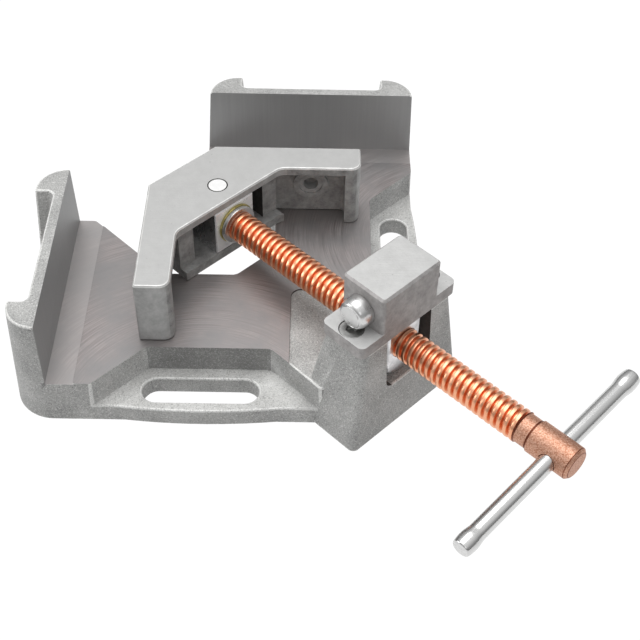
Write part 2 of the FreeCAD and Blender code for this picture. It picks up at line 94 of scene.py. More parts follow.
paper = empty_material("white_paper_sweep")
tree = paper.node_tree
seen = add(tree, "ShaderNodeLightPath")
lit = add(tree, "ShaderNodeBsdfDiffuse", {"Color": linear("#A6A6A6")})
white = add(tree, "ShaderNodeEmission", {"Color": (1, 1, 1, 1), "Strength": 1.1})
sharp_view = add(tree, "ShaderNodeMath", {
    0: seen.outputs["Is Camera Ray"], 1: seen.outputs["Is Glossy Ray"]}, operation="MAXIMUM")
share = add(tree, "ShaderNodeMath", {0: sharp_view.outputs[0], 1: 0.93}, operation="MULTIPLY")
mixed = add(tree, "ShaderNodeMixShader", {0: share.outputs[0], 1: lit.outputs[0], 2: white.outputs[0]})
add(tree, "ShaderNodeOutputMaterial", {"Surface": mixed.outputs[0]})
floor_shape = bmesh.new()
bmesh.ops.create_grid(floor_shape, x_segments=1, y_segments=1, size=4.0)
floor_mesh = bpy.data.meshes.new("floor")
floor_shape.to_mesh(floor_mesh)
floor_mesh.materials.append(paper)
floor = bpy.data.objects.new("floor", floor_mesh)
scene.collection.objects.link(floor)

room = bpy.data.worlds.new("studio")
scene.world = room
room.use_nodes = True
room.node_tree.nodes.clear()
tree = room.node_tree
toward = add(tree, "ShaderNodeTexCoord")
height = add(tree, "ShaderNodeSeparateXYZ", {0: toward.outputs["Generated"]})
tone = add(tree, "ShaderNodeMapRange", {
    "Value": height.outputs["Z"], "From Min": 0.0, "From Max": 0.9, "To Min": 0.1, "To Max": 0.92})
seen = add(tree, "ShaderNodeLightPath")
surround = add(tree, "ShaderNodeBackground", {"Color": (1, 1, 1, 1), "Strength": tone.outputs[0]})
backdrop = add(tree, "ShaderNodeBackground", {"Color": (1, 1, 1, 1), "Strength": 1.0})
mixed = add(tree, "ShaderNodeMixShader", {
    0: seen.outputs["Is Camera Ray"], 1: surround.outputs[0], 2: backdrop.outputs[0]})
add(tree, "ShaderNodeOutputWorld", {"Surface": mixed.outputs[0]})

clamp_middle = Vector((-0.06, 0.06, 0.04))
for name, place, side, power in (
        ("overhead_box", (-0.2, 0.25, 1.3), 1.0, 8.5),
        ("left_box", (-1.25, 0.0, 0.55), 0.5, 4.5),
        ("front_box", (0.3, -1.2, 0.9), 0.5, 0.8)):
    lamp = bpy.data.lights.new(name, "AREA")
    lamp.shape = "SQUARE"
    lamp.size = side
    lamp.energy = power
    holder = bpy.data.objects.new(name, lamp)
    holder.location = place
    holder.rotation_euler = (clamp_middle - Vector(place)).to_track_quat("-Z", "Y").to_euler()
    scene.collection.objects.link(holder)


# Base casting. Grey iron, sand cast in one piece with both fixed jaws, the feet and the pedestal, then shot
# blasted. The beds and the jaw faces are milled, which leaves arcs, fine upright marks and crisp edges.
weld_gap = 2e-6


def merged(node):
    """Closed mesh of a CAD node with its doubles merged and its flat faces made whole."""
    shape = bmesh.new()
    shape.from_mesh(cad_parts[node].data)
    bmesh.ops.remove_doubles(shape, verts=shape.verts, dist=weld_gap)
    bmesh.ops.dissolve_limit(
        shape, angle_limit=math.radians(0.2), verts=shape.verts, edges=shape.edges)
    return shape


def rounded(shape, width, steps, chosen=None, angle=24.0, finish=None, clamped=True):
    """Rounds the sharp edges of a mesh, or those of them that are chosen, and may give them a finish."""
    edges = []
    for edge in shape.edges:
        if len(edge.link_faces) != 2 or edge.calc_face_angle() < math.radians(angle):
            continue
        if chosen is None or chosen(edge):
            edges.append(edge)
    made = bmesh.ops.bevel(
        shape, geom=edges, offset=width, offset_type="OFFSET", affect="EDGES", segments=steps, profile=0.5,
        material=-1, clamp_overlap=clamped)
    if finish is not None:
        for face in made["faces"]:
            face.material_index = finish


def piece(shape, name, body, materials, stands_for=(), sharp=48.0):
    """Finishes a mesh as a piece of the clamp that rides on a body."""
    mesh = bpy.data.meshes.new(name)
    shape.to_mesh(mesh)
    shape.free()
    for material in materials:
        mesh.materials.append(material)
    mesh.shade_smooth()
    mesh.set_sharp_from_angle(angle=math.radians(sharp))
    made = bpy.data.objects.new(name, mesh)
    scene.collection.objects.link(made)
    even = made.modifiers.new("even_shading", "WEIGHTED_NORMAL")
    even.keep_sharp = True
    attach(made, body)
    if stands_for:
        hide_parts(*stands_for)


face_offset = 184.0 * MM
bed_height = 30.0 * MM
groove_floor = 29.0 * MM
groove_width = 15.0 * MM
near = 0.08 * MM
skin_top = 29.2 * MM
milled_edge = 53.0 * MM
milled_corner = 6.0 * MM
channel_half_width = 17.0 * MM
channel_floor = 32.5 * MM
pedestal_reach = 30.0 * MM
foot_height = 12.0 * MM
pocket_reach = 165.0 * MM

# How closely a face looks along a direction, as a cosine.
squarely = 0.99
mainly = 0.9
partly = 0.5

# The casting's finishes, in the order of its materials.
SKIN, MILLED_BED, MILLED_FACE, PAINTED_SHADE, LIT_TOP_PAINT, SHADED_WALL_PAINT, HIGHLIGHT_EDGE_PAINT = range(7)


def finish_of(face):
    """Finish of a face. Dark painted shade lies in the step around the milled area and on the walls of the
    nut's channel, the tops of the feet are painted lighter as light, and the wall of the pocket behind a
    foot is painted darker as shade."""
    middle = face.calc_center_median()
    heights = [vert.co.z for vert in face.verts]
    looks_up = face.normal.z > squarely
    if looks_up and min(abs(middle.z - bed_height), abs(middle.z - groove_floor)) < near:
        return MILLED_BED
    if face.normal.x > squarely and abs(middle.x + face_offset) < near:
        return MILLED_FACE
    if face.normal.y < -squarely and abs(middle.y - face_offset) < near:
        return MILLED_FACE
    # the step's upright faces get dark painted shade
    at_step = min(abs(middle.x + milled_edge), abs(middle.y - milled_edge)) < milled_corner
    if at_step and min(heights) > skin_top - near and max(heights) < bed_height + near:
        return PAINTED_SHADE if abs(face.normal.z) < partly else SKIN
    # the tops of the feet get painted light
    if looks_up and abs(middle.z - foot_height) < near:
        return LIT_TOP_PAINT
    # the walls of the pockets above the feet get painted shade
    back_wall = max(abs(face.normal.x), abs(face.normal.y)) > mainly
    above_foot = min(heights) > foot_height - near and max(heights) < bed_height + near
    if back_wall and above_foot and abs(middle.x - middle.y) < pocket_reach:
        return SHADED_WALL_PAINT
    aside = abs(middle.x + middle.y) / math.sqrt(2)
    ahead = abs(middle.x - middle.y) / math.sqrt(2)
    looks_ahead = abs(face.normal.x - face.normal.y) / math.sqrt(2) > partly
    # the walls of the nut's channel get dark painted shadow
    in_channel = aside < channel_half_width + near and ahead < pedestal_reach and not looks_ahead
    return PAINTED_SHADE if in_channel and middle.z > channel_floor + near else SKIN


# Cast iron skin after shot blasting: a grey metal of fine grains, some of them painted near white as glints,
# with black pits between them. The grains are drawn a little coarser than real ones, so that they show.
grain_size = 0.7 * MM


def cast_iron(name, low, high, sparkle):
    """Shot-blasted iron between two tones, with painted glints and dark pits on its grains, more or less
    strongly.
    """
    made = empty_material(name)
    tree = made.node_tree
    place = add(tree, "ShaderNodeTexCoord").outputs["Object"]
    grain = add(tree, "ShaderNodeTexNoise", {
        "Vector": place, "Scale": 1 / (1.8 * grain_size), "Detail": 4.0, "Roughness": 0.75})
    patch = add(tree, "ShaderNodeTexNoise", {
        "Vector": place, "Scale": 1 / (24 * MM), "Detail": 4.0, "Roughness": 0.6})
    crystal = add(tree, "ShaderNodeTexNoise", {"Vector": place, "Scale": 1 / grain_size, "Detail": 1.0})
    facet = add(tree, "ShaderNodeSeparateColor", {0: crystal.outputs["Color"]})
    blend = add(tree, "ShaderNodeMath", {0: grain.outputs["Fac"], 1: patch.outputs["Fac"]}, operation="ADD")
    tone = add(tree, "ShaderNodeMapRange", {"Value": blend.outputs[0], "From Min": 0.7, "From Max": 1.3})
    tones = add(tree, "ShaderNodeMix", {
        0: tone.outputs[0], 6: linear(low), 7: linear(high)}, data_type="RGBA")
    # painted glints: some grains are turned near white
    glint = add(tree, "ShaderNodeMapRange", {
        "Value": facet.outputs[0], "From Min": 0.54, "From Max": 0.7, "To Min": 0.0, "To Max": sparkle})
    glinting = add(tree, "ShaderNodeMix", {
        0: glint.outputs[0], 6: tones.outputs[2], 7: linear("#F2F2F0")}, data_type="RGBA")
    pit = add(tree, "ShaderNodeMapRange", {
        "Value": facet.outputs[1], "From Min": 0.55, "From Max": 0.72, "To Min": 0.0, "To Max": sparkle})
    pitted = add(tree, "ShaderNodeMix", {
        0: pit.outputs[0], 6: glinting.outputs[2], 7: linear("#3A3A39")}, data_type="RGBA")
    shine = add(tree, "ShaderNodeMapRange", {
        "Value": facet.outputs[2], "From Min": 0.3, "From Max": 0.7, "To Min": 0.4, "To Max": 0.75})
    relief = add(tree, "ShaderNodeMath", {0: grain.outputs["Fac"], 1: facet.outputs[0]}, operation="ADD")
    bump = add(tree, "ShaderNodeBump", {
        "Strength": 0.6, "Distance": 0.35 * grain_size, "Height": relief.outputs[0]})
    metal = add(tree, "ShaderNodeBsdfPrincipled", {
        "Base Color": pitted.outputs[2], "Roughness": shine.outputs[0], "Metallic": 0.35,
        "Normal": bump.outputs[0]})
    add(tree, "ShaderNodeOutputMaterial", {"Surface": metal.outputs[0]})
    return made


skin = cast_iron("shot_blasted_grey_iron", "#949493", "#C2C2C0", 0.47)
# Painted light: the tops of the feet are lighter than the rest of the skin.
lit_top_skin = cast_iron("grey_iron_painted_light", "#ACACAA", "#D4D4D2", 0.42)
# Painted highlight: the base's rounded edges are brighter than the rest of the skin.
highlight_edge_skin = cast_iron("iron_edge_painted_highlight", "#C4C4C2", "#EEEEEC", 0.5)
# Painted shade: the pocket walls above the feet are darker than the rest of the skin.
shaded_skin = cast_iron("grey_iron_painted_shade", "#747473", "#9A9A98", 0.25)

# Milled beds: a face cutter has swept large arcs over them. The arcs are drawn coarser than real ones, so
# that they show. The relief groove along each fixed jaw is a little lighter.
cutter_centre_x = -100.0 * MM
cutter_centre_y = -45.0 * MM
arc_spacing = 0.9 * MM
arc_breaks = 2.2
groove_lightness = 0.35

milled = empty_material("face_milled_grey_iron")
tree = milled.node_tree
place = add(tree, "ShaderNodeTexCoord").outputs["Object"]
parts = add(tree, "ShaderNodeSeparateXYZ", {0: place})
# the rear bed is the left one mirrored over the diagonal, so both share one pattern
side = add(tree, "ShaderNodeMath", {0: parts.outputs["X"], 1: parts.outputs["Y"]}, operation="ADD")
mirrored = add(tree, "ShaderNodeMath", {0: side.outputs[0], 1: 0.0}, operation="GREATER_THAN")
flip_x = add(tree, "ShaderNodeMath", {0: parts.outputs["Y"], 1: -1.0}, operation="MULTIPLY")
flip_y = add(tree, "ShaderNodeMath", {0: parts.outputs["X"], 1: -1.0}, operation="MULTIPLY")
fold_x = add(tree, "ShaderNodeMix", {0: mirrored.outputs[0], 2: parts.outputs["X"], 3: flip_x.outputs[0]})
fold_y = add(tree, "ShaderNodeMix", {0: mirrored.outputs[0], 2: parts.outputs["Y"], 3: flip_y.outputs[0]})
cutter_x = add(tree, "ShaderNodeMath", {0: fold_x.outputs[0], 1: cutter_centre_x}, operation="SUBTRACT")
cutter_y = add(tree, "ShaderNodeMath", {0: fold_y.outputs[0], 1: cutter_centre_y}, operation="SUBTRACT")
cutter = add(tree, "ShaderNodeCombineXYZ", {"X": cutter_x.outputs[0], "Y": cutter_y.outputs[0]})
sweep = add(tree, "ShaderNodeVectorMath", {0: cutter.outputs[0]}, operation="LENGTH")
turn = add(tree, "ShaderNodeMath", {0: cutter_y.outputs[0], 1: cutter_x.outputs[0]}, operation="ARCTAN2")
arc_x = add(tree, "ShaderNodeMath", {0: sweep.outputs["Value"], 1: 1 / arc_spacing}, operation="MULTIPLY")
arc_y = add(tree, "ShaderNodeMath", {0: turn.outputs[0], 1: arc_breaks}, operation="MULTIPLY")
arc_place = add(tree, "ShaderNodeCombineXYZ", {"X": arc_x.outputs[0], "Y": arc_y.outputs[0]})
marks = add(tree, "ShaderNodeTexNoise", {
    "Vector": arc_place.outputs[0], "Scale": 1.0, "Detail": 4.0, "Roughness": 0.7})
cloud = add(tree, "ShaderNodeTexNoise", {
    "Vector": place, "Scale": 1 / (26 * MM), "Detail": 4.0, "Roughness": 0.6})
marks_tone = add(tree, "ShaderNodeMapRange", {
    "Value": marks.outputs["Fac"], "From Min": 0.3, "From Max": 0.7, "To Min": 0.0, "To Max": 1.0})
tones = add(tree, "ShaderNodeMix", {
    0: marks_tone.outputs[0], 6: linear("#857F7E"), 7: linear("#B4ADAC")}, data_type="RGBA")
cloud_tone = add(tree, "ShaderNodeMapRange", {
    "Value": cloud.outputs["Fac"], "From Min": 0.35, "From Max": 0.65})
clouded = add(tree, "ShaderNodeMix", {
    0: cloud_tone.outputs[0], 6: tones.outputs[2], 7: linear("#939191")}, data_type="RGBA")
in_groove = add(tree, "ShaderNodeMath", {
    0: fold_x.outputs[0], 1: groove_width - face_offset}, operation="LESS_THAN")
groove_share = add(tree, "ShaderNodeMath", {
    0: in_groove.outputs[0], 1: groove_lightness}, operation="MULTIPLY")
grooved = add(tree, "ShaderNodeMix", {
    0: groove_share.outputs[0], 6: clouded.outputs[2], 7: linear("#C8C4C3")}, data_type="RGBA")
shine = add(tree, "ShaderNodeMapRange", {
    "Value": marks.outputs["Fac"], "From Min": 0.3, "From Max": 0.7, "To Min": 0.38, "To Max": 0.6})
bump = add(tree, "ShaderNodeBump", {"Strength": 0.3, "Distance": 0.1 * MM, "Height": marks.outputs["Fac"]})
metal = add(tree, "ShaderNodeBsdfPrincipled", {
    "Base Color": grooved.outputs[2], "Roughness": shine.outputs[0], "Metallic": 0.8,
    "Normal": bump.outputs[0]})
add(tree, "ShaderNodeOutputMaterial", {"Surface": metal.outputs[0]})

# Milled jaw faces: side-milled with fine upright marks, darker than the beds because they face each other.
mark_spacing = 0.9 * MM
mark_length = 60.0 * MM

jaw_face = empty_material("side_milled_grey_iron")
tree = jaw_face.node_tree
place = add(tree, "ShaderNodeTexCoord").outputs["Object"]
stretch = add(tree, "ShaderNodeMapping", {
    "Vector": place, "Scale": (1 / mark_spacing, 1 / mark_spacing, 1 / mark_length)})
marks = add(tree, "ShaderNodeTexNoise", {
    "Vector": stretch.outputs[0], "Scale": 1.0, "Detail": 3.0, "Roughness": 0.6})
cloud = add(tree, "ShaderNodeTexNoise", {"Vector": place, "Scale": 1 / (40 * MM), "Detail": 2.0})
tones = add(tree, "ShaderNodeMix", {
    0: marks.outputs["Fac"], 6: linear("#8C8C8C"), 7: linear("#A9A9A9")}, data_type="RGBA")
clouded = add(tree, "ShaderNodeMix", {
    0: cloud.outputs["Fac"], 6: tones.outputs[2], 7: linear("#A4A4A4")}, data_type="RGBA")
bump = add(tree, "ShaderNodeBump", {"Strength": 0.15, "Distance": 0.1 * MM, "Height": marks.outputs["Fac"]})
metal = add(tree, "ShaderNodeBsdfPrincipled", {
    "Base Color": clouded.outputs[2], "Roughness": 0.5, "Metallic": 0.5, "Normal": bump.outputs[0]})
add(tree, "ShaderNodeOutputMaterial", {"Surface": metal.outputs[0]})


def mottled(name, patch_size, low, high, roughness, metallic):
    """A plain finish in two tones, which blend in patches of the given size."""
    made = empty_material(name)
    tree = made.node_tree
    place = add(tree, "ShaderNodeTexCoord").outputs["Object"]
    patch = add(tree, "ShaderNodeTexNoise", {"Vector": place, "Scale": 1 / patch_size, "Detail": 3.0})
    tones = add(tree, "ShaderNodeMix", {
        0: patch.outputs["Fac"], 6: linear(low), 7: linear(high)}, data_type="RGBA")
    surface = add(tree, "ShaderNodeBsdfPrincipled", {
        "Base Color": tones.outputs[2], "Roughness": roughness, "Metallic": metallic})
    add(tree, "ShaderNodeOutputMaterial", {"Surface": surface.outputs[0]})
    return made


# Dark painted shade: it stands for the shade in the step around the milled area, the shadow on the walls of
# the nut's channel and the shade in a ring around the pivot pins.
shade_paint = mottled("iron_with_painted_shade", 3 * MM, "#262524", "#5A5856", roughness=0.8, metallic=0.0)


def machined(edge):
    """Whether an edge borders a milled face or one of dark painted shade. Such edges stay crisp."""
    return any(face.material_index in (MILLED_BED, MILLED_FACE, PAINTED_SHADE) for face in edge.link_faces)


casting = merged("base")
for face in casting.faces:
    face.material_index = finish_of(face)
# the rounded convex edges get the painted highlight
rounded(
    casting, width=1.1 * MM, steps=3, chosen=lambda edge: edge.is_convex and not machined(edge),
    finish=HIGHLIGHT_EDGE_PAINT, clamped=False)
rounded(casting, width=0.25 * MM, steps=1, chosen=machined)
piece(
    casting, "base_casting", "frame",
    [skin, milled, jaw_face, shade_paint, lit_top_skin, shaded_skin, highlight_edge_skin], ["base"])


# Swivel nut. A barrel nut of steel with zinc plating, dull and mottled. It stands in the pedestal's channel
# and turns there, and the spindle runs through it.
def zinc_plate(name, low, high, metallic):
    """Zinc plating, mottled in its tone and in its gloss."""
    made = empty_material(name)
    tree = made.node_tree
    place = add(tree, "ShaderNodeTexCoord").outputs["Object"]
    mottle = add(tree, "ShaderNodeTexNoise", {
        "Vector": place, "Scale": 1 / (5 * MM), "Detail": 5.0, "Roughness": 0.65})
    tones = add(tree, "ShaderNodeMix", {
        0: mottle.outputs["Fac"], 6: linear(low), 7: linear(high)}, data_type="RGBA")
    shine = add(tree, "ShaderNodeMapRange", {
        "Value": mottle.outputs["Fac"], "From Min": 0.35, "From Max": 0.65, "To Min": 0.45, "To Max": 0.22})
    bump = add(tree, "ShaderNodeBump", {
        "Strength": 0.2, "Distance": 0.2 * MM, "Height": mottle.outputs["Fac"]})
    metal = add(tree, "ShaderNodeBsdfPrincipled", {
        "Base Color": tones.outputs[2], "Roughness": shine.outputs[0], "Metallic": metallic,
        "Normal": bump.outputs[0]})
    add(tree, "ShaderNodeOutputMaterial", {"Surface": metal.outputs[0]})
    return made


zinc = zinc_plate("zinc_plated_steel", "#A9A8AA", "#FAF9F9", metallic=1.0)
nut = merged("swivel_nut")
rounded(nut, width=0.5 * MM, steps=2)
piece(nut, "swivel_nut_barrel", "nut", [zinc], ["swivel_nut"])


# Nut cap. Cast iron, ground on its top and faces and tumbled, so its edges are softly rounded; they are
# rubbed bright and partly a painted highlight, and its sides are painted darker than its top, as shade. Two
# screws hold its flange on the pedestal.
scratch_turn = math.radians(12)
scratch_length = 30.0 * MM
scratch_spacing = 0.8 * MM


def ground_iron(name, low, high, roughness):
    """Grey iron with a satin surface: faint clouds, dark pores and fine scratches."""
    made = empty_material(name)
    tree = made.node_tree
    place = add(tree, "ShaderNodeTexCoord").outputs["Object"]
    grain = add(tree, "ShaderNodeTexNoise", {"Vector": place, "Scale": 1 / (1.1 * MM), "Detail": 3.0})
    cloud = add(tree, "ShaderNodeTexNoise", {
        "Vector": place, "Scale": 1 / (7 * MM), "Detail": 6.0, "Roughness": 0.75})
    pore = add(tree, "ShaderNodeTexNoise", {"Vector": place, "Scale": 1 / (2.2 * MM), "Detail": 2.0})
    turned = add(tree, "ShaderNodeMapping", {
        "Vector": place, "Rotation": (0, 0, scratch_turn),
        "Scale": (1 / scratch_length, 1 / scratch_spacing, 1 / scratch_length)})
    scratch = add(tree, "ShaderNodeTexNoise", {"Vector": turned.outputs[0], "Scale": 1.0, "Detail": 2.0})
    cloud_tone = add(tree, "ShaderNodeMapRange", {
        "Value": cloud.outputs["Fac"], "From Min": 0.32, "From Max": 0.68})
    tones = add(tree, "ShaderNodeMix", {
        0: cloud_tone.outputs[0], 6: linear(low), 7: linear(high)}, data_type="RGBA")
    pore_tone = add(tree, "ShaderNodeMapRange", {
        "Value": pore.outputs["Fac"], "From Min": 0.72, "From Max": 0.8, "To Min": 0.0, "To Max": 0.6})
    pored = add(tree, "ShaderNodeMix", {
        0: pore_tone.outputs[0], 6: tones.outputs[2], 7: linear("#6A6A69")}, data_type="RGBA")
    relief = add(tree, "ShaderNodeMath", {
        0: grain.outputs["Fac"], 1: scratch.outputs["Fac"]}, operation="ADD")
    bump = add(tree, "ShaderNodeBump", {"Strength": 0.4, "Distance": 0.2 * MM, "Height": relief.outputs[0]})
    metal = add(tree, "ShaderNodeBsdfPrincipled", {
        "Base Color": pored.outputs[2], "Roughness": roughness, "Metallic": 0.35, "Normal": bump.outputs[0]})
    add(tree, "ShaderNodeOutputMaterial", {"Surface": metal.outputs[0]})
    return made


cap_top = ground_iron("tumbled_grey_iron", "#B9B9B8", "#C7C7C6", roughness=0.5)
# Painted shade: the cap's sides are darker than its top.
cap_side_shade = ground_iron("grey_iron_side_painted_shade", "#918E8D", "#BEBBBA", roughness=0.6)
# Edges rubbed bright, and partly a painted highlight.
worn_and_highlight_edge = ground_iron("rubbed_iron_painted_highlight", "#C6C6C4", "#EAEAE8", roughness=0.42)
TOP, SIDE, WORN_AND_HIGHLIGHT = range(3)

cap = merged("nut_cap")
for face in cap.faces:
    face.material_index = TOP if face.normal.z > squarely else SIDE
rounded(cap, width=0.9 * MM, steps=3, finish=WORN_AND_HIGHLIGHT)
piece(cap, "nut_cap_casting", "frame", [cap_top, cap_side_shade, worn_and_highlight_edge], ["nut_cap"])


# Cap screws. Two steel socket screws with low heads, oiled and dark, sunk into the cap's flange.
screw_steel = mottled("oiled_steel", 2 * MM, "#868685", "#BEBEBC", roughness=0.35, metallic=1.0)
screws = merged("cap_screws")
rounded(screws, width=0.35 * MM, steps=2)
piece(screws, "cap_screw_pair", "frame", [screw_steel], ["cap_screws"])


# Retaining plug. Turned steel with a domed and polished head and a small flat on its end, driven into the
# left side of the cap.
polished = empty_material("polished_steel")
tree = polished.node_tree
place = add(tree, "ShaderNodeTexCoord").outputs["Object"]
haze = add(tree, "ShaderNodeTexNoise", {"Vector": place, "Scale": 1 / (5 * MM), "Detail": 3.0})
tones = add(tree, "ShaderNodeMix", {
    0: haze.outputs["Fac"], 6: linear("#C8C8C8"), 7: linear("#E2E2E1")}, data_type="RGBA")
shine = add(tree, "ShaderNodeMapRange", {
    "Value": haze.outputs["Fac"], "From Min": 0.3, "From Max": 0.7, "To Min": 0.26, "To Max": 0.36})
metal = add(tree, "ShaderNodeBsdfPrincipled", {
    "Base Color": tones.outputs[2], "Roughness": shine.outputs[0], "Metallic": 1.0})
add(tree, "ShaderNodeOutputMaterial", {"Surface": metal.outputs[0]})

square_heading = math.radians(-45.0)
plug_height = 85.9 * MM
tip = 6.3 * MM
shank = 4.0 * MM
seat = 21.6 * MM
head_radius = 8.8 * MM
head_chamfer = 0.5 * MM
barrel_end = 25.2 * MM
dome_steps = 9
dome_margin = 0.25 * MM
flat_end = 30.6 * MM
flat_radius = 6.3 * MM
flat_rise = 0.45 * MM
flat_chamfer = 0.3 * MM


def turning(points):
    """Solid of revolution about X from a profile of (place, radius) points whose ends lie on the axis."""
    shape = bmesh.new()
    line = [shape.verts.new((place, radius, 0.0)) for place, radius in points]
    edges = [shape.edges.new(pair) for pair in zip(line, line[1:])]
    bmesh.ops.spin(
        shape, geom=line + edges, cent=(0, 0, 0), axis=(1, 0, 0), angle=2 * math.pi, steps=64,
        use_merge=True)
    bmesh.ops.remove_doubles(shape, verts=shape.verts, dist=1e-7)
    bmesh.ops.recalc_face_normals(shape, faces=shape.faces)
    return shape


profile = [
    (tip, 0.0), (tip, shank), (seat, shank), (seat, head_radius - head_chamfer),
    (seat + head_chamfer, head_radius)]
dome_height = flat_end - dome_margin - barrel_end
dome_width = head_radius - flat_radius - dome_margin
for i in range(dome_steps + 1):
    bend = math.radians(90.0 * i / dome_steps)
    profile.append((
        barrel_end + dome_height * math.sin(bend), flat_radius + dome_margin + dome_width * math.cos(bend)))
profile += [(flat_end - flat_rise, flat_radius), (flat_end, flat_radius - flat_chamfer), (flat_end, 0.0)]
plug = turning(profile)
bmesh.ops.transform(
    plug, verts=plug.verts,
    matrix=Matrix.Translation((0, 0, plug_height)) @ Matrix.Rotation(square_heading - math.pi / 2, 4, "Z"))
piece(plug, "retaining_plug_domed", "frame", [polished], ["retaining_plug"], sharp=35.0)


# Spindle. Steel with a rolled trapezoidal thread of 18 mm and 4 mm pitch, a neck and a cross-drilled head,
# all plated with copper. The thread is bright from use and the head is matt and speckled.
heading = math.radians(-44.3)
axis = Vector((math.cos(heading), math.sin(heading), 0.0))
spindle_height = 52.9 * MM
spindle_place = Matrix.Translation((0, 0, spindle_height)) @ Matrix.Rotation(heading, 4, "Z")
thread_start = -117.0 * MM
thread_end = 92.0 * MM
thread_overlap = 0.5 * MM
shoulder = 99.3 * MM
pitch = 4.0 * MM
crest = 9.0 * MM
crest_edge = 8.9 * MM
flank_top = 8.5 * MM
root = 6.75 * MM
turn_steps = 44

bright_copper = empty_material("bright_copper_plate")
tree = bright_copper.node_tree
place = add(tree, "ShaderNodeTexCoord").outputs["Object"]
stain = add(tree, "ShaderNodeTexNoise", {
    "Vector": place, "Scale": 1 / (3 * MM), "Detail": 4.0, "Roughness": 0.6})
tones = add(tree, "ShaderNodeMix", {
    0: stain.outputs["Fac"], 6: linear("#DE9168"), 7: linear("#FFC8A6")}, data_type="RGBA")
shine = add(tree, "ShaderNodeMapRange", {
    "Value": stain.outputs["Fac"], "From Min": 0.3, "From Max": 0.7, "To Min": 0.26, "To Max": 0.4})
metal = add(tree, "ShaderNodeBsdfPrincipled", {
    "Base Color": tones.outputs[2], "Roughness": shine.outputs[0], "Metallic": 1.0})
add(tree, "ShaderNodeOutputMaterial", {"Surface": metal.outputs[0]})

# one tooth's outline, as its place along the pitch in mm and its radius
tooth = [
    (0.0, root), (0.75, root), (1.3, flank_top), (1.6, crest_edge), (2.1, crest), (2.95, crest),
    (3.4, crest_edge), (3.65, flank_top), (4.0, root)]
thread = bmesh.new()
line = [thread.verts.new((thread_start - pitch + along * MM, 0.0, radius)) for along, radius in tooth]
edges = [thread.edges.new(pair) for pair in zip(line, line[1:])]
turns = round((thread_end - thread_start) / pitch) + 2
bmesh.ops.spin(
    thread, geom=line + edges, cent=(0, 0, 0), axis=(1, 0, 0), dvec=(pitch / turn_steps, 0, 0),
    angle=2 * math.pi * turns, steps=turn_steps * turns)
bmesh.ops.remove_doubles(thread, verts=thread.verts, dist=1e-6)
for place_cut, outwards in ((thread_start, -1), (thread_end, 1)):
    bmesh.ops.bisect_plane(
        thread, geom=thread.verts[:] + thread.edges[:] + thread.faces[:], dist=1e-7,
        plane_co=(place_cut, 0, 0), plane_no=(outwards, 0, 0), clear_outer=True)
    rim = []
    for edge in thread.edges:
        if edge.is_boundary and all(abs(vert.co.x - place_cut) < 1e-6 for vert in edge.verts):
            rim.append(edge)
    bmesh.ops.holes_fill(thread, edges=rim)
bmesh.ops.recalc_face_normals(thread, faces=thread.faces)
bmesh.ops.transform(thread, verts=thread.verts, matrix=spindle_place)
piece(thread, "spindle_thread", "screw", [bright_copper], sharp=40.0)

# Matt copper plate: dull and finely speckled, with a dark brown line of painted shadow where the neck meets
# the shoulder.
matt_copper = empty_material("matt_copper_plate")
tree = matt_copper.node_tree
place = add(tree, "ShaderNodeTexCoord").outputs["Object"]
speckle = add(tree, "ShaderNodeTexNoise", {
    "Vector": place, "Scale": 1 / (0.7 * MM), "Detail": 3.0, "Roughness": 0.7})
fleck = add(tree, "ShaderNodeMapRange", {
    "Value": speckle.outputs["Fac"], "From Min": 0.38, "From Max": 0.62})
tones = add(tree, "ShaderNodeMix", {
    0: fleck.outputs[0], 6: linear("#AC755B"), 7: linear("#DCB19A")}, data_type="RGBA")
along = add(tree, "ShaderNodeVectorMath", {0: place, 1: axis}, operation="DOT_PRODUCT")
# painted shadow: a dark brown ring where the neck meets the shoulder
at_shoulder = add(tree, "ShaderNodeMath", {
    0: along.outputs["Value"], 1: shoulder, 2: 0.7 * MM}, operation="COMPARE")
shoulder_shadow_paint = add(tree, "ShaderNodeMix", {
    0: at_shoulder.outputs[0], 6: tones.outputs[2], 7: linear("#6E3C2A")}, data_type="RGBA")
bump = add(tree, "ShaderNodeBump", {
    "Strength": 0.5, "Distance": 0.2 * MM, "Height": speckle.outputs["Fac"]})
metal = add(tree, "ShaderNodeBsdfPrincipled", {
    "Base Color": shoulder_shadow_paint.outputs[2], "Roughness": 0.5, "Metallic": 0.9, "Normal": bump.outputs[0]})
add(tree, "ShaderNodeOutputMaterial", {"Surface": metal.outputs[0]})

# The head's edges, and the rim of the hole for the bar, are painted dark brown as shade.
copper_edge_shade_paint = mottled("copper_plate_painted_shade", 2 * MM, "#5E3222", "#9A604A", roughness=0.4, metallic=0.9)
RIM = 1

head = merged("spindle")
journal = head.copy()
neck_cut = axis * (thread_end - thread_overlap) + Vector((0, 0, spindle_height))
bmesh.ops.bisect_plane(
    head, geom=head.verts[:] + head.edges[:] + head.faces[:], plane_co=neck_cut, plane_no=axis,
    clear_inner=True)
bmesh.ops.holes_fill(head, edges=[edge for edge in head.edges if edge.is_boundary])
# the rounded edges get the dark brown painted shade
rounded(head, width=0.4 * MM, steps=1, angle=38.0, finish=RIM)
piece(head, "spindle_head", "screw", [matt_copper, copper_edge_shade_paint], ["spindle"])
journal_cut = axis * (thread_start + thread_overlap) + Vector((0, 0, spindle_height))
bmesh.ops.bisect_plane(
    journal, geom=journal.verts[:] + journal.edges[:] + journal.faces[:], plane_co=journal_cut,
    plane_no=axis, clear_outer=True)
bmesh.ops.holes_fill(journal, edges=[edge for edge in journal.edges if edge.is_boundary])
rounded(journal, width=0.2 * MM, steps=1)
piece(journal, "spindle_journal", "screw", [matt_copper])


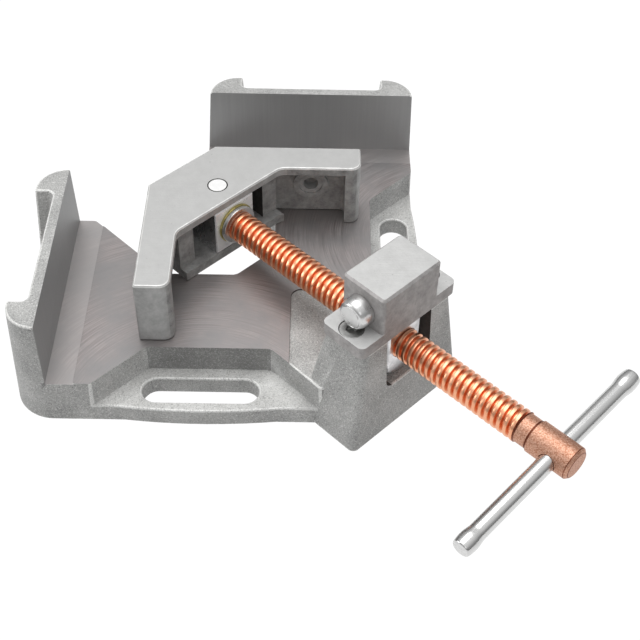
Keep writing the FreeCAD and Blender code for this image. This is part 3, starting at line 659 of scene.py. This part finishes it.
# Handle bar. Drawn steel rod, three eighths of an inch thick, polished, with both ends upset so that it
# slides in the head and can't fall out.
bar_tilt = math.radians(5.54)
bar_place = 113.3 * MM
near_end = 73.4 * MM
far_end = 62.5 * MM
streak_length = 90.0 * MM
streak_width = 1.5 * MM

drawn = empty_material("drawn_steel")
tree = drawn.node_tree
place = add(tree, "ShaderNodeTexCoord").outputs["Object"]
lengthwise = add(tree, "ShaderNodeMapping", {
    "Vector": place, "Rotation": (0, -bar_tilt, heading + math.pi / 2),
    "Scale": (streak_length, streak_width, streak_width)}, vector_type="TEXTURE")
streak = add(tree, "ShaderNodeTexNoise", {"Vector": lengthwise.outputs[0], "Scale": 1.0, "Detail": 2.0})
tones = add(tree, "ShaderNodeMix", {
    0: streak.outputs["Fac"], 6: linear("#B9B9B9"), 7: linear("#E8E8E7")}, data_type="RGBA")
shine = add(tree, "ShaderNodeMapRange", {
    "Value": streak.outputs["Fac"], "From Min": 0.3, "From Max": 0.7, "To Min": 0.2, "To Max": 0.3})
metal = add(tree, "ShaderNodeBsdfPrincipled", {
    "Base Color": tones.outputs[2], "Roughness": shine.outputs[0], "Metallic": 1.0})
add(tree, "ShaderNodeOutputMaterial", {"Surface": metal.outputs[0]})

# an upset end's outline, as how far in from the end and the radius there, both in mm
flare = [
    (13.0, 4.76), (11.0, 4.9), (8.8, 5.3), (6.9, 5.5), (4.5, 5.5), (2.0, 5.25), (0.9, 5.05), (0.4, 4.85),
    (0.1, 4.5), (0.0, 4.2), (0.0, 0.0)]
profile = [(inward * MM - near_end, radius * MM) for inward, radius in reversed(flare)]
profile += [(far_end - inward * MM, radius * MM) for inward, radius in flare]
bar = turning(profile)
bmesh.ops.transform(
    bar, verts=bar.verts,
    matrix=spindle_place @ Matrix.Translation((bar_place, 0, 0)) @ Matrix.Rotation(bar_tilt, 4, "X")
    @ Matrix.Rotation(math.pi / 2, 4, "Z"))
piece(bar, "handle_bar_rod", "bar", [drawn], ["handle_bar"], sharp=60.0)


# Thrust washers. A bright steel washer on each side of the swivel block, and a yellow zinc ring between the
# front one and the block.
for node in ("thrust_washer", "rear_washer"):
    ring = merged(node)
    rounded(ring, width=0.3 * MM, steps=2)
    piece(ring, node + "_ring", "screw", [polished], [node])

yellow_zinc = mottled("yellow_zinc_plate", 6 * MM, "#8F8A55", "#D8C584", roughness=0.26, metallic=1.0)
ring = merged("zinc_washer")
rounded(ring, width=0.3 * MM, steps=2)
piece(ring, "zinc_washer_ring", "carriage", [yellow_zinc], ["zinc_washer"])


# Swivel block. A sawn and plated steel block in the mouth of the moving jaw. The spindle's journal turns in
# it, and it swings on the two pivot pins. Its front and its rounded edges are painted near white as light,
# brighter than its sides.
# Painted light: the block's front is near white.
block_front_painted_light = zinc_plate("zinc_plate_painted_light", "#E0DFDF", "#FFFFFF", metallic=0.3)
FRONT, SIDES = range(2)

block = merged("swivel_block")
for face in block.faces:
    face.material_index = FRONT if face.normal.dot(axis) > mainly else SIDES
rounded(block, width=0.35 * MM, steps=2, finish=FRONT)
piece(block, "swivel_block_plated", "carriage", [block_front_painted_light, zinc], ["swivel_block"])


# Lock nut and its pin, which hold the spindle in the swivel block from behind. Plain steel, hidden in the
# jaw's mouth.
lock = merged("lock_nut")
rounded(lock, width=0.4 * MM, steps=2)
piece(lock, "lock_nut_hexagon", "screw", [screw_steel], ["lock_nut"])
pin = merged("lock_pin")
rounded(pin, width=0.3 * MM, steps=2)
piece(pin, "lock_pin_rod", "screw", [polished], ["lock_pin"])


# Moving jaw. Grey iron casting with a ground top plate, two hollow arms and the mouth for the swivel block.
# Its top is satin with faint scratches, its edges are rubbed bright and partly a painted highlight, its
# hollows are dull and a little darker, and its mouth is painted dark as shade.
plate_underside = 67.3 * MM
mouth_half_width = 27.0 * MM
bore_reach = 7.0 * MM
jaw_top = ground_iron("ground_grey_iron", "#B2B2B1", "#BABAB9", roughness=0.55)
jaw_side = ground_iron("brushed_grey_iron", "#9E9E9D", "#C0C0BF", roughness=0.62)
jaw_hollow = ground_iron("dull_cast_iron", "#828281", "#BABAB9", roughness=0.75)
# Painted shade: the jaw's mouth is dark.
jaw_mouth_shade_paint = ground_iron("cast_iron_painted_shade", "#323231", "#565655", roughness=0.8)
HOLLOW, MOUTH = 3, 4

jaw = merged("moving_jaw")
for face in jaw.faces:
    middle = face.calc_center_median()
    outside = all((vert.co - middle).dot(face.normal) < near for vert in jaw.verts)
    aside = max(abs(vert.co.x + vert.co.y) for vert in face.verts) / math.sqrt(2)
    if outside and face.normal.z > squarely:
        face.material_index = TOP
    elif outside or middle.z > plate_underside + near:
        face.material_index = SIDE
    elif aside < mouth_half_width + near:
        face.material_index = MOUTH
    else:
        face.material_index = HOLLOW
pin_points = [vert.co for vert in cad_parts["upper_pivot_pin"].data.vertices]
pivot = sum(pin_points, Vector()) / len(pin_points)


def off_the_pivot(edge):
    """Whether an edge is clear of the pins' bore, which stays sharp around the pins."""
    return any((vert.co - pivot).xy.length > bore_reach for vert in edge.verts)


def inside(edge):
    """Whether both faces at an edge lie in the mouth or in the hollow of an arm."""
    return all(face.material_index in (HOLLOW, MOUTH) for face in edge.link_faces)


# the rounded outer edges are rubbed bright and partly a painted highlight
rounded(
    jaw, width=1.0 * MM, steps=3, chosen=lambda edge: off_the_pivot(edge) and not inside(edge), finish=WORN_AND_HIGHLIGHT)
rounded(jaw, width=0.5 * MM, steps=2, chosen=lambda edge: off_the_pivot(edge) and inside(edge))
piece(
    jaw, "moving_jaw_casting", "jaw",
    [jaw_top, jaw_side, worn_and_highlight_edge, jaw_hollow, jaw_mouth_shade_paint], ["moving_jaw"])


# Pivot pins. Ground steel pins, flush with the jaw's top and underside, bright on their ends, with a thin
# dark ring of painted shade around each.
pin_steel = mottled("ground_pin_steel", 3 * MM, "#E8E8E7", "#FAFAFA", roughness=0.4, metallic=0.6)
for node in ("upper_pivot_pin", "lower_pivot_pin"):
    pin = merged(node)
    # the rounded rim of each pin is painted dark, as shade in its bore
    rounded(pin, width=0.8 * MM, steps=1, finish=RIM)
    piece(pin, node + "_ground", "jaw", [pin_steel, shade_paint], [node])
